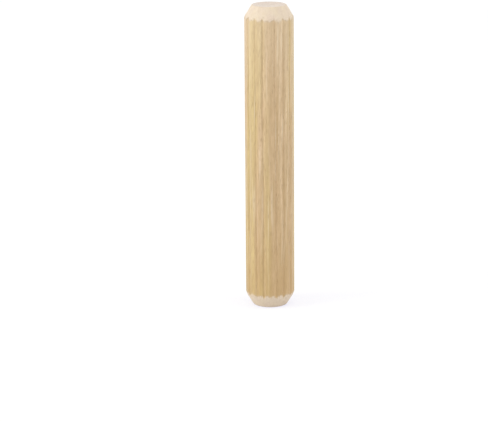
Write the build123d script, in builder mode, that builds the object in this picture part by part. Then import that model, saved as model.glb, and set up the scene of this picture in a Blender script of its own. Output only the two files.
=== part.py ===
"""Fluted wooden dowel pin, standing on one end.

The origin is the centre of the foot, +Z runs along the pin's axis and all sizes are in millimetres.
"""

import os

from build123d import *

# Rod
pin_diameter = 8.0
pin_length = 50.0

# Flutes, which are V grooves along the whole rod with a rounded root and eased edges
flute_count = 16
flute_width = 0.5
flute_depth = 0.24
flute_root_radius = 0.08
land_edge_radius = 0.06
first_flute_angle = 13.5

# Chamfer on each end, which is cut across the flutes and leaves them running out in it
chamfer_width = 1.2
chamfer_length = 2.0
shoulder_radius = 0.5
end_edge_radius = 0.35

# Shallow round hollow in each end face, inside a flat rim
rim_width = 0.55
hollow_depth = 0.18

pin_radius = pin_diameter / 2
end_radius = pin_radius - chamfer_width
hollow_radius = end_radius - rim_width
half_length = pin_length / 2
shoulder_height = half_length - chamfer_length

# Both ends are alike, so the pin is drawn about its middle
middle = (0, 0, half_length)
across_pin = Plane(middle, z_dir=(0, 0, 1)).rotated((0, 0, first_flute_angle))
along_pin = Plane(middle, x_dir=(1, 0, 0), z_dir=(0, -1, 0))

with BuildPart() as dowel_pin:
    # Fluted rod
    with BuildSketch(across_pin) as rod_section:
        Circle(pin_radius)
        with PolarLocations(0, flute_count):
            # The V's point is in the wood and its open side is outside the rod
            Polygon(
                (pin_radius - flute_depth, 0),
                (pin_radius + flute_depth, -flute_width),
                (pin_radius + flute_depth, flute_width),
                align=None,
                mode=Mode.SUBTRACT,
            )
        land_edges = rod_section.vertices().sort_by_distance((0, 0, 0))[flute_count:]
        fillet(land_edges, radius=land_edge_radius)
        flute_roots = rod_section.vertices().sort_by_distance((0, 0, 0))[:flute_count]
        fillet(flute_roots, radius=flute_root_radius)
    extrude(amount=half_length, both=True)

    # Chamfered and hollowed ends, turned in one profile
    with BuildSketch(along_pin) as turned_profile:
        with BuildLine():
            hollow = TangentArc((0, hollow_depth - half_length), (hollow_radius, -half_length), tangent=(1, 0))
            Polyline(hollow @ 1, (end_radius, -half_length), (pin_radius, -shoulder_height))
            mirror(about=Plane.XZ)
            Line((pin_radius, -shoulder_height), (pin_radius, shoulder_height))
            Line((0, hollow_depth - half_length), (0, half_length - hollow_depth))
        make_face()
        fillet(turned_profile.vertices().group_by(Axis.X)[-2], radius=end_edge_radius)
        fillet(turned_profile.vertices().group_by(Axis.X)[-1], radius=shoulder_radius)
    revolve(axis=Axis.Z, mode=Mode.INTERSECT)

dowel_pin.part.label = "dowel_pin"

os.makedirs("parts", exist_ok=True)
export_step(dowel_pin.part, "parts/dowel_pin.step")
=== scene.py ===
"""The dowel pin dressed for rendering: its wood mesh, wood material, floor, light and camera.

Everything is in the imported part's own frame, +Z up with the centre of the foot at the origin. Sizes are in
millimetres, which MM turns into metres where an object is made. Only the floor and the lamps are in metres.
"""

import math
import random

import bpy
import numpy as np
from mathutils import Matrix, Vector, noise


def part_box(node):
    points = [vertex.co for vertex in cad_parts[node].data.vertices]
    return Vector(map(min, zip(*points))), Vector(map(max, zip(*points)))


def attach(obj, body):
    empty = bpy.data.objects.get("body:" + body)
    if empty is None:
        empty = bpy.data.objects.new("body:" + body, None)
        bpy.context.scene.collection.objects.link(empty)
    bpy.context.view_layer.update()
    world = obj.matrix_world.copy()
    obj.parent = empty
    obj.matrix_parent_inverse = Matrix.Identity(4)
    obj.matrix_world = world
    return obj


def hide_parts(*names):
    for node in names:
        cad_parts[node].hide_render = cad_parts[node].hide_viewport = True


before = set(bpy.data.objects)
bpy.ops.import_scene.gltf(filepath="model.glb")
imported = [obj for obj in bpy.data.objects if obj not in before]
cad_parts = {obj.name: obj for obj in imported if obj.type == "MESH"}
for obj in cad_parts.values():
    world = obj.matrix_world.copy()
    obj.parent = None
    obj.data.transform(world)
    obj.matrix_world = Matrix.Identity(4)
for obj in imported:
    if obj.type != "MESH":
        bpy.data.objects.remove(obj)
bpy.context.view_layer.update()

MM = 0.001
NODE = "dowel_pin"
low_corner, high_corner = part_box(NODE)

# Pin
PIN_RADIUS = (high_corner[0] - low_corner[0]) / 2 / MM
PIN_LENGTH = (high_corner[2] - low_corner[2]) / MM
CHAMFER_WIDTH = 1.2
CHAMFER_LENGTH = 2.0
END_RADIUS = PIN_RADIUS - CHAMFER_WIDTH
END_ROUNDING = 0.2
RIM_WIDTH = 0.55
HOLLOW_DEPTH = 0.18

# Flutes, with crowned ribs between them, as pressed flutes leave the rod
FLUTE_COUNT = 16
FIRST_FLUTE = 13.5
FLUTE_WIDTH = 0.5
FLUTE_DEPTH = 0.24
FLUTE_ROOT = 0.03
RIB_CROWN = 0.07
RIB_EDGE_SOFTNESS = 0.012

# Degrees by which a flute stands off its even place, and by which it drifts from foot to top. Those of the
# flutes in view are given by number, and the rest get at most this much either way.
SEEN_FLUTES = {
    9: (-6.0, 0.0),
    10: (-4.0, -2.0),
    11: (-7.2, -1.0),
    12: (0.2, -5.0),
    13: (-1.8, 0.0),
    14: (-1.5, -2.0),
}
UNSEEN_SHIFT = 3.0
UNSEEN_DRIFT = 2.5

# Shares of the depth by which one flute differs from another, and by which each wavers along the pin
DEPTH_SPREAD = 0.15
WAVER = 0.08

# Mesh spacing, which is close on the ends and for a little way past the shoulders
GROOVE_COLUMNS = 8
RIB_COLUMNS = 9
SHANK_SPACING = 0.28
CUT_SPACING = 0.07
PAST_SHOULDER = 7 * CUT_SPACING
HOLLOW_ROWS = 10
CORNER_ROWS = 6

# Degrees by which the grain is turned about X, Y and Z, so that it isn't quite true to the pin's axis
GRAIN_TURN = (0.8, -0.6, 35.0)

# Growth rings of the tree, whose pith lay this far off the pin's axis in the grain's own directions
PITH = (-52.0, 21.0, 0.0)
RING_WIDTH = 1.9

# How softly the end cutter's surface gives way to the fluted one, in shape and then in colour, and how far
# the cut wood's colour reaches past the crossing
SHOULDER_SOFTNESS = 0.04
CUT_BLUR = 0.08
CUT_REACH = 0.13

# Relief of the fluted wood and of the cut wood, the torn edge and the height it takes, and the finest bump
FIBRE_RELIEF = 0.02
CUT_RELIEF = 0.035
TORN_EDGE = 0.25
TORN_BAND = 0.7
BUMP_HEIGHT = 0.04

# Colours of the side grain: yellow and pinkish wood, each in earlywood and latewood, then what marks them
YELLOW_EARLY = (0.68, 0.53, 0.252)
YELLOW_LATE = (0.60, 0.45, 0.198)
PINK_EARLY = (0.67, 0.49, 0.30)
PINK_LATE = (0.595, 0.42, 0.24)
STREAK = (0.42, 0.285, 0.13)
FIBRE = (0.44, 0.305, 0.15)
PALE_STREAK = (0.82, 0.70, 0.52)
FLECK = (0.42, 0.255, 0.12)
PORE = (0.30, 0.19, 0.09)

# Painted light on the top of the shank and painted shade at its foot, and the heights where each comes in
PAINTED_TOP_LIGHT = (0.80, 0.66, 0.48)
TOP_LIGHT_FROM = 34.0
TOP_LIGHT_TO = 48.0
PAINTED_FOOT_SHADE = (0.46, 0.28, 0.09)
FOOT_SHADE_FROM = 24.0
FOOT_SHADE_TO = 2.0

# Colours of the cut grain: two shades on the chamfers, two on the end faces, then what marks them
CHAMFER_YELLOW = (0.705, 0.588, 0.435)
CHAMFER_GREY = (0.675, 0.553, 0.435)
END_PINK = (0.61, 0.52, 0.46)
END_GREY = (0.58, 0.485, 0.42)
END_LATEWOOD = (0.50, 0.39, 0.31)
LUMP = (0.80, 0.70, 0.56)
CUT_FIBRE = (0.58, 0.46, 0.33)
CUT_PORE = (0.46, 0.34, 0.23)
# Darker torn fibres at the shoulder, partly painted shade in the notches of the torn edge
TORN_FIBRE_AND_SHADE = (0.42, 0.30, 0.18)

# Floor, whose half width is in metres, and the strength of the white surround
FLOOR_HALF = 3.0
SURROUND = 1.0

# Camera, as fitted to the photograph, whose frame is 488 x 422 pixels
PHOTO_WIDTH = 488
FOCAL_PIXELS = 2272.06
SENSOR_WIDTH = 36.0
CAMERA_PLACE = Vector((-3.43, -360.83, 110.44))
CAMERA_YAW = 0.13
CAMERA_PITCH = 14.707
CAMERA_ROLL = -0.43


# Wood mesh


def spaced(start, end, spacing):
    """Points from start to end, both left out, about one spacing apart."""
    count = max(2, round(math.dist(start, end) / spacing))
    share = np.linspace(0, 1, count + 1)[1:-1, None]
    return np.array(start) * (1 - share) + np.array(end) * share


def cone_radius(from_end):
    """The cone that the end cutter leaves, carried on past the shoulder."""
    return END_RADIUS + from_end * CHAMFER_WIDTH / CHAMFER_LENGTH


def foot_rings():
    """Cutter radius and height of each ring of the foot, from beside the axis to past the shoulder."""
    share = np.linspace(0, 1, HOLLOW_ROWS + 1)[1:]
    hollow = np.stack([(END_RADIUS - RIM_WIDTH) * share, HOLLOW_DEPTH * (1 - share**2)], axis=1)

    corner = np.array((END_RADIUS, 0.0))
    before = corner - (END_ROUNDING, 0)
    slope = math.atan2(CHAMFER_LENGTH, CHAMFER_WIDTH)
    after = corner + END_ROUNDING * np.array((math.cos(slope), math.sin(slope)))
    share = np.linspace(0, 1, CORNER_ROWS + 1)[:, None]
    edge = (1 - share) ** 2 * before + 2 * share * (1 - share) * corner + share**2 * after

    last_height = CHAMFER_LENGTH + PAST_SHOULDER
    last = np.array((cone_radius(last_height), last_height))
    rim = spaced(hollow[-1], before, CUT_SPACING)
    cone = spaced(after, last, CUT_SPACING)
    return np.concatenate([hollow, rim, edge, cone])


def all_rings():
    """Cutter radius and height of each ring from the foot to the top."""
    foot = foot_rings()
    top = foot[::-1] * (1, -1) + (0, PIN_LENGTH)
    shank = spaced(foot[-1], top[0], SHANK_SPACING)
    shank[:, 0] = cone_radius(np.minimum(shank[:, 1], PIN_LENGTH - shank[:, 1]))
    return np.concatenate([foot, shank, top])


def flutes():
    """Root angle at half height, drift from foot to top and depth of each flute, a little off even."""
    draw = random.Random(FLUTE_COUNT)
    for flute in range(FLUTE_COUNT):
        unseen = (draw.uniform(-UNSEEN_SHIFT, UNSEEN_SHIFT), draw.uniform(-UNSEEN_DRIFT, UNSEEN_DRIFT))
        shift, drift = SEEN_FLUTES.get(flute, unseen)
        angle = math.radians(FIRST_FLUTE + shift) + math.tau * flute / FLUTE_COUNT
        yield angle, math.radians(drift), FLUTE_DEPTH * (1 + draw.uniform(-DEPTH_SPREAD, DEPTH_SPREAD))


def columns():
    """For each column: its angle and drift, its nearest flute's depth, and its places across groove and rib.

    The groove place is 0 at the root, 1 at the mouth and more beyond it. The rib place runs from -1 to 1
    across a rib, and stays at 1 in a groove.
    """
    half_mouth = FLUTE_WIDTH / 2 / PIN_RADIUS
    made = list(flutes())
    first_angle, first_drift, first_depth = made[0]
    following = made[1:] + [(first_angle + math.tau, first_drift, first_depth)]
    rows = []
    for (angle, drift, depth), (next_angle, next_drift, next_depth) in zip(made, following):
        for across in np.linspace(-1, 1, GROOVE_COLUMNS, endpoint=False):
            rows.append((angle + across * half_mouth, drift, depth, abs(across), 1.0))
        half_rib = (next_angle - angle) / 2 - half_mouth
        for turn in np.linspace(0, math.pi, RIB_COLUMNS, endpoint=False):
            place = -math.cos(turn)
            groove_place = 1 + (1 - abs(place)) * half_rib / half_mouth
            share = (1 + place) / 2
            own_angle = (angle + half_mouth) * (1 - share) + (next_angle - half_mouth) * share
            own_drift = drift * (1 - share) + next_drift * share
            rows.append((own_angle, own_drift, depth if place < 0 else next_depth, groove_place, place))
    return np.array(rows).T


def soft_maximum(first, second, softness):
    """The greater of the two, eased where they cross."""
    return softness * np.logaddexp(first / softness, second / softness)


def drawn_noise(points, across, along):
    """Smooth noise from 0 to 1 at each point, drawn out along the grain."""
    values = [noise.noise((x * across, y * across, z * along)) for x, y, z in points.reshape(-1, 3)]
    return np.clip(0.5 + 0.5 * np.array(values), 0, 1).reshape(points.shape[:-1])


def placed(radius, angle, heights):
    return np.stack([radius * np.cos(angle), radius * np.sin(angle), heights + 0 * angle], axis=-1)


def pin_shape():
    """Place of each vertex by ring and column, and its shares of the cut wood and of an end face."""
    limit, heights = all_rings().T[:, :, None]
    angle, drift, depth, groove_place, rib_place = columns()
    angle = angle + drift * (heights / PIN_LENGTH - 0.5)
    from_end = np.minimum(heights, PIN_LENGTH - heights)
    outline = placed(PIN_RADIUS, angle, heights)

    waver = 1 + WAVER * (2 * drawn_noise(outline, across=0.9, along=0.12) - 1)
    from_root = np.hypot(groove_place, 2 * FLUTE_ROOT / FLUTE_WIDTH)
    groove = RIB_CROWN + (depth * waver - RIB_CROWN) * (1 - from_root)
    below = soft_maximum(groove, RIB_CROWN * rib_place**2, RIB_EDGE_SOFTNESS)
    fluted = PIN_RADIUS - below - FIBRE_RELIEF * drawn_noise(outline, across=3.4, along=0.1)

    coarse = drawn_noise(outline, across=1.6, along=0.9)
    fine = drawn_noise(outline, across=5.0, along=2.5)
    torn = TORN_EDGE * (coarse + fine - 1)
    relief = CUT_RELIEF * drawn_noise(placed(limit, angle, heights), across=3.0, along=2.0)
    cutter = limit + torn * np.clip(1 + (from_end - CHAMFER_LENGTH) / TORN_BAND, 0, 1) - relief
    radius = np.minimum(-soft_maximum(-cutter, -fluted, SHOULDER_SOFTNESS), PIN_RADIUS)

    cut = 0.5 + 0.5 * np.tanh((fluted - cutter + CUT_REACH) / CUT_BLUR)
    end_face = np.clip((END_RADIUS - limit) / END_ROUNDING, 0, 1) + 0 * angle
    inward = np.where(heights < PIN_LENGTH / 2, 1, -1)
    return placed(radius, angle, heights + inward * relief * end_face), cut, end_face


def pin_faces(rings, per_ring):
    """Quads between the rings, and a fan round each end's centre, one of the last two vertices."""
    faces = []
    for ring in range(rings - 1):
        low = ring * per_ring
        high = low + per_ring
        for column in range(per_ring):
            beside = (column + 1) % per_ring
            faces.append((low + column, low + beside, high + beside, high + column))
    foot_centre = rings * per_ring
    top = foot_centre - per_ring
    for column in range(per_ring):
        beside = (column + 1) % per_ring
        faces.append((foot_centre, beside, column))
        faces.append((foot_centre + 1, top + column, top + beside))
    return faces


def make_pin():
    """One closed mesh for the whole pin, which stands for the CAD node."""
    points, cut, end_face = pin_shape()
    centres = [(0, 0, HOLLOW_DEPTH), (0, 0, PIN_LENGTH - HOLLOW_DEPTH)]
    vertices = np.concatenate([points.reshape(-1, 3), centres]) * MM
    mesh = bpy.data.meshes.new("fluted_pin")
    mesh.from_pydata(vertices.tolist(), [], pin_faces(*cut.shape))
    mesh.shade_smooth()
    for name, share in (("cut", cut), ("end_face", end_face)):
        values = np.append(share.ravel(), [1, 1])
        mesh.attributes.new(name, "FLOAT", "POINT").data.foreach_set("value", values)
    mesh.materials.append(pale_wood())
    pin = bpy.data.objects.new("fluted_pin", mesh)
    bpy.context.scene.collection.objects.link(pin)
    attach(pin, "root")
    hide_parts(NODE)


# Node helpers


def connect(tree, value, socket):
    """Links a socket, or sets a number or a colour of three numbers."""
    if isinstance(value, bpy.types.NodeSocket):
        tree.links.new(value, socket)
    elif isinstance(value, tuple) and len(value) < len(socket.default_value):
        socket.default_value = (*value, 1)
    else:
        socket.default_value = value


def add_node(tree, kind, **inputs):
    """A new node, with inputs given by name."""
    node = tree.nodes.new(kind)
    for name, value in inputs.items():
        connect(tree, value, node.inputs[name.replace("_", " ")])
    return node


def combined(tree, operation, first, second):
    """A Math node's result."""
    node = tree.nodes.new("ShaderNodeMath")
    node.operation = operation
    connect(tree, first, node.inputs[0])
    connect(tree, second, node.inputs[1])
    return node.outputs[0]


def vector_math(tree, operation, first, second=(0, 0, 0)):
    """A Vector Math node's result, which is a number for LENGTH."""
    node = tree.nodes.new("ShaderNodeVectorMath")
    node.operation = operation
    connect(tree, first, node.inputs[0])
    connect(tree, second, node.inputs[1])
    return node.outputs["Value" if operation == "LENGTH" else "Vector"]


def between(tree, value, low, high, low_result=0.0, high_result=1.0):
    """Turns low to high into the results, and holds them beyond."""
    node = add_node(tree, "ShaderNodeMapRange", Value=value, From_Min=low, From_Max=high)
    connect(tree, low_result, node.inputs["To Min"])
    connect(tree, high_result, node.inputs["To Max"])
    return node.outputs["Result"]


def mixed(tree, factor, first, second, kind="RGBA"):
    """Two colours, or with kind FLOAT two numbers, mixed by a factor."""
    node = tree.nodes.new("ShaderNodeMix")
    node.data_type = kind
    # The node has sockets for every kind under the same names, so the kind's own are taken by number
    first_input, output = (6, 2) if kind == "RGBA" else (2, 0)
    connect(tree, factor, node.inputs[0])
    connect(tree, first, node.inputs[first_input])
    connect(tree, second, node.inputs[first_input + 1])
    return node.outputs[output]


def share_of(tree, name):
    """A share that the mesh holds at each vertex."""
    node = tree.nodes.new("ShaderNodeAttribute")
    node.attribute_name = name
    return node.outputs["Fac"]


def seen_directly(tree):
    """1 for rays from the camera, a reflection or through glass, and 0 for light that falls on things."""
    rays = tree.nodes.new("ShaderNodeLightPath").outputs
    seen = combined(tree, "MAXIMUM", rays["Is Camera Ray"], rays["Is Glossy Ray"])
    return combined(tree, "MAXIMUM", seen, rays["Is Transmission Ray"])


# Wood material


def new_material(name):
    material = bpy.data.materials.new(name)
    material.use_nodes = True
    return material


def grain_space(tree):
    """The pin's own coordinates in millimetres, turned to the grain."""
    place = tree.nodes.new("ShaderNodeTexCoord").outputs["Object"]
    turn = tuple(math.radians(angle) for angle in GRAIN_TURN)
    per_mm = (1 / MM, 1 / MM, 1 / MM)
    return add_node(tree, "ShaderNodeMapping", Vector=place, Rotation=turn, Scale=per_mm).outputs[0]


def grain_noise(tree, space, across, along, detail=2.0):
    """Noise with this many features a millimetre across and along the grain."""
    vector = vector_math(tree, "MULTIPLY", space, (across, across, along))
    return add_node(tree, "ShaderNodeTexNoise", Vector=vector, Scale=1.0, Detail=detail).outputs["Fac"]


def vessels(tree, space, across, along, reach):
    """Short thin dashes along the grain: 1 inside a vessel, 0 outside."""
    vector = vector_math(tree, "MULTIPLY", space, (across, across, along))
    cells = add_node(tree, "ShaderNodeTexVoronoi", Vector=vector, Scale=1.0)
    return between(tree, cells.outputs["Distance"], reach, reach * 0.5)


def latewood(tree, space):
    """Share of latewood in the growth rings, which curve gently about a far pith and each end sharply."""
    across = vector_math(tree, "MULTIPLY", space, (1, 1, 0))
    from_pith = vector_math(tree, "LENGTH", vector_math(tree, "SUBTRACT", across, PITH))
    waved = combined(tree, "ADD", from_pith, grain_noise(tree, space, across=0.35, along=0.012))
    into_ring = combined(tree, "FLOORED_MODULO", waved, RING_WIDTH)
    return between(tree, into_ring, 0.3 * RING_WIDTH, 0.9 * RING_WIDTH)


def side_grain(tree, space):
    """Colour, roughness and height of the side: growth rings, streaks, fibres, brown flecks and vessels,
    with painted light on the top and painted shade towards the foot.
    """
    late = latewood(tree, space)
    hue = between(tree, grain_noise(tree, space, across=0.4, along=0.02), 0.42, 0.58)
    streaks = between(tree, grain_noise(tree, space, across=2.2, along=0.12), 0.35, 0.65)
    fibres = between(tree, grain_noise(tree, space, across=3.8, along=0.6, detail=3.0), 0.34, 0.66)
    pale = between(tree, grain_noise(tree, space, across=2.9, along=0.08), 0.58, 0.72, high_result=0.4)
    pores = vessels(tree, space, across=4.6, along=0.5, reach=0.26)
    flecks = vessels(tree, space, across=2.4, along=1.0, reach=0.3)
    flecked = between(tree, grain_noise(tree, space, across=1.2, along=0.03), 0.45, 0.6)

    yellow = mixed(tree, late, YELLOW_EARLY, YELLOW_LATE)
    pink = mixed(tree, late, PINK_EARLY, PINK_LATE)
    colour = mixed(tree, hue, yellow, pink)
    colour = mixed(tree, between(tree, streaks, 0, 1, 0.45, 0), colour, STREAK)
    colour = mixed(tree, between(tree, fibres, 0, 1, 0.5, 0), colour, FIBRE)
    colour = mixed(tree, pale, colour, PALE_STREAK)
    flecks = combined(tree, "MULTIPLY", flecks, flecked)
    colour = mixed(tree, combined(tree, "MULTIPLY", flecks, 0.4), colour, FLECK)
    colour = mixed(tree, combined(tree, "MULTIPLY", pores, 0.4), colour, PORE)
    height = add_node(tree, "ShaderNodeSeparateXYZ", Vector=space).outputs["Z"]
    # Painted light: the top of the shank is made paler, as light falls more on it
    colour = mixed(tree, between(tree, height, TOP_LIGHT_FROM, TOP_LIGHT_TO, 0, 0.25), colour, PAINTED_TOP_LIGHT)
    # Painted shade: the shank darkens towards the foot, where shade falls
    colour = mixed(tree, between(tree, height, FOOT_SHADE_TO, FOOT_SHADE_FROM, 0.34, 0), colour, PAINTED_FOOT_SHADE)

    roughness = between(tree, fibres, 0, 1, 0.4, 0.55)
    return colour, roughness, combined(tree, "SUBTRACT", fibres, pores)


def cut_grain(tree, space):
    """Colour, roughness and height of the chamfers and end faces, paler and rougher than the side."""
    lumps = grain_noise(tree, space, across=2.4, along=1.2, detail=4.0)
    fibres = grain_noise(tree, space, across=9.0, along=0.9, detail=3.0)
    pores = vessels(tree, space, across=6.0, along=1.2, reach=0.26)
    patches = between(tree, grain_noise(tree, space, across=0.9, along=0.2), 0.35, 0.65)

    chamfer = mixed(tree, patches, CHAMFER_YELLOW, CHAMFER_GREY)
    end = mixed(tree, patches, END_PINK, END_GREY)
    end = mixed(tree, combined(tree, "MULTIPLY", latewood(tree, space), 0.35), end, END_LATEWOOD)
    colour = mixed(tree, share_of(tree, "end_face"), chamfer, end)
    colour = mixed(tree, between(tree, lumps, 0.35, 0.7, 0, 0.4), colour, LUMP)
    colour = mixed(tree, between(tree, fibres, 0.3, 0.7, 0.22, 0), colour, CUT_FIBRE)
    colour = mixed(tree, combined(tree, "MULTIPLY", pores, 0.3), colour, CUT_PORE)

    roughness = between(tree, lumps, 0.3, 0.7, 0.7, 0.85)
    return colour, roughness, combined(tree, "SUBTRACT", combined(tree, "ADD", lumps, fibres), pores)


def pale_wood():
    """Side grain on the fluted surface, cut grain where the end cutter went, and between them darker torn
    fibres, partly painted shade.
    """
    material = new_material("pale_wood")
    tree = material.node_tree
    space = grain_space(tree)
    cut = share_of(tree, "cut")
    side_colour, side_roughness, side_height = side_grain(tree, space)
    cut_colour, cut_roughness, cut_height = cut_grain(tree, space)
    colour = mixed(tree, cut, side_colour, cut_colour)
    # Darker torn fibres where cut and side grain meet, partly painted shade in the torn notches
    half_cut = combined(tree, "MULTIPLY", cut, combined(tree, "SUBTRACT", 1.0, cut))
    torn = between(tree, grain_noise(tree, space, across=2.5, along=1.5), 0.42, 0.6, high_result=2.0)
    colour = mixed(tree, combined(tree, "MULTIPLY", half_cut, torn), colour, TORN_FIBRE_AND_SHADE)
    roughness = mixed(tree, cut, side_roughness, cut_roughness, "FLOAT")
    height = mixed(tree, cut, side_height, cut_height, "FLOAT")
    bump = add_node(tree, "ShaderNodeBump", Height=height, Strength=0.5, Distance=BUMP_HEIGHT * MM)
    shader = tree.nodes["Principled BSDF"]
    tree.links.new(colour, shader.inputs["Base Color"])
    tree.links.new(roughness, shader.inputs["Roughness"])
    tree.links.new(bump.outputs[0], shader.inputs["Normal"])
    shader.inputs["Specular IOR Level"].default_value = 0.5
    shader.inputs["Sheen Weight"].default_value = 0.3
    shader.inputs["Sheen Roughness"].default_value = 0.3
    return material


# Floor, light and camera


def make_floor_material():
    """Pale floor that looks white, with a thin and slightly blue shadow as in the photograph."""
    material = new_material("floor")
    tree = material.node_tree
    tree.nodes.clear()
    plain = add_node(tree, "ShaderNodeBsdfDiffuse", Color=(0.8, 0.8, 0.8))
    thin = add_node(tree, "ShaderNodeBsdfDiffuse", Color=(0.38, 0.38, 0.22))
    glow = add_node(tree, "ShaderNodeEmission", Color=(0.76, 0.76, 1.0), Strength=0.78)
    white = tree.nodes.new("ShaderNodeAddShader")
    tree.links.new(thin.outputs[0], white.inputs[0])
    tree.links.new(glow.outputs[0], white.inputs[1])
    either = tree.nodes.new("ShaderNodeMixShader")
    tree.links.new(seen_directly(tree), either.inputs[0])
    tree.links.new(plain.outputs[0], either.inputs[1])
    tree.links.new(white.outputs[0], either.inputs[2])
    out = tree.nodes.new("ShaderNodeOutputMaterial")
    tree.links.new(either.outputs[0], out.inputs["Surface"])
    return material


def make_floor():
    corners = [(x * FLOOR_HALF, y * FLOOR_HALF, 0) for x, y in ((-1, -1), (1, -1), (1, 1), (-1, 1))]
    mesh = bpy.data.meshes.new("floor")
    mesh.from_pydata(corners, [], [(0, 1, 2, 3)])
    mesh.materials.append(make_floor_material())
    floor = bpy.data.objects.new("floor", mesh)
    bpy.context.scene.collection.objects.link(floor)


def make_lamp(name, place, size, power):
    """A soft square lamp, turned to the middle of the pin; metres and watts."""
    data = bpy.data.lights.new(name, "AREA")
    data.energy = power
    data.size = size
    lamp = bpy.data.objects.new(name, data)
    lamp.location = place
    towards = Vector((0, 0, PIN_LENGTH / 2 * MM)) - lamp.location
    lamp.rotation_euler = towards.to_track_quat("-Z", "Y").to_euler()
    bpy.context.scene.collection.objects.link(lamp)


def make_world():
    """An even white surround."""
    world = bpy.data.worlds.new("surround")
    bpy.context.scene.world = world
    world.use_nodes = True
    background = world.node_tree.nodes["Background"]
    background.inputs["Color"].default_value = (1, 1, 1, 1)
    background.inputs["Strength"].default_value = SURROUND


def make_camera():
    """A long lens at the photograph's height and pitch, looking along +Y."""
    data = bpy.data.cameras.new("photo_camera")
    data.sensor_width = SENSOR_WIDTH
    data.lens = SENSOR_WIDTH * FOCAL_PIXELS / PHOTO_WIDTH
    data.clip_start = 0.01
    data.clip_end = 20.0
    camera = bpy.data.objects.new("photo_camera", data)
    camera.location = CAMERA_PLACE * MM
    yaw = Matrix.Rotation(math.radians(CAMERA_YAW), 3, "Z")
    pitch = Matrix.Rotation(math.radians(90 - CAMERA_PITCH), 3, "X")
    roll = Matrix.Rotation(math.radians(CAMERA_ROLL), 3, "Z")
    camera.rotation_euler = (yaw @ pitch @ roll).to_euler()
    bpy.context.scene.collection.objects.link(camera)
    bpy.context.scene.camera = camera


bpy.context.scene.view_settings.view_transform = "Standard"
make_pin()
make_floor()
make_world()
make_lamp("key", place=(-0.67, -0.2, 0.35), size=0.35, power=2.1)
make_lamp("fill", place=(0.69, -0.12, 0.45), size=0.5, power=1.2)
make_camera()
